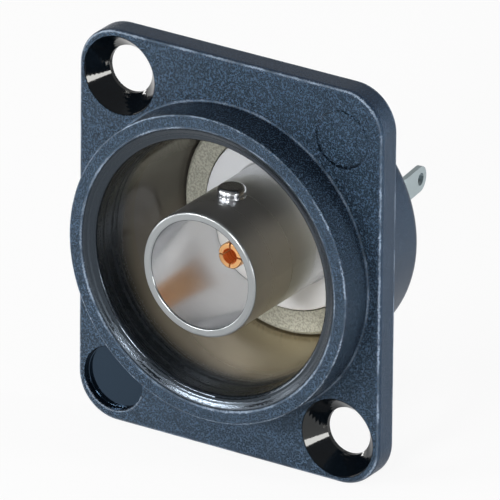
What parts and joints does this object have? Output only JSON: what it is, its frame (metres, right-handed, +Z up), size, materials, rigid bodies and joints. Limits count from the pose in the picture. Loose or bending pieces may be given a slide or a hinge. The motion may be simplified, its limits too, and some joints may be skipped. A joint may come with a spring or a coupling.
{
  "type": "panel mount bnc connector",
  "caption": "Coaxial panel jack: a bayonet barrel with slotted centre contact, recessed and insulated in a black cast flange housing, with nut, tag and solder cup behind.",
  "frame": {"origin": "centre of the flange's rear face, which seats on the panel, on the jack's axis", "axes": "+Y goes back through the panel, -Y is the mating face, +Z up along the flange's long side, +X to the right seen from the front"},
  "size_m": [0.026, 0.022, 0.031],
  "materials": {
    "black_casting": "black coated zinc casting with a fine even grain, semi-gloss",
    "grey_insulator": "moulded light grey, matt, fine grain",
    "nickel": "bright nickel plate on turned brass",
    "ptfe": "white turned fluoropolymer, waxy",
    "gold": "gold plate on turned copper alloy",
    "tinned_brass": "tin plate on stamped brass, satin",
    "nickel_steel": "nickel plated spring steel, stamped",
    "nickel_brass_nut": "nickel plated brass hexagon, turned"
  },
  "bodies": {
    "root": {"housing": "black_casting", "front_insulating_ring": "grey_insulator", "rear_insulating_washer": "grey_insulator", "jack_body": "nickel", "upper_bayonet_lug": "nickel", "lower_bayonet_lug": "nickel", "front_dielectric": "ptfe", "rear_dielectric": "ptfe", "retaining_ring": "nickel", "centre_contact": "gold", "solder_tag": "tinned_brass", "lock_washer": "nickel_steel", "hex_nut": "nickel_brass_nut"}
  },
  "joints": []
}
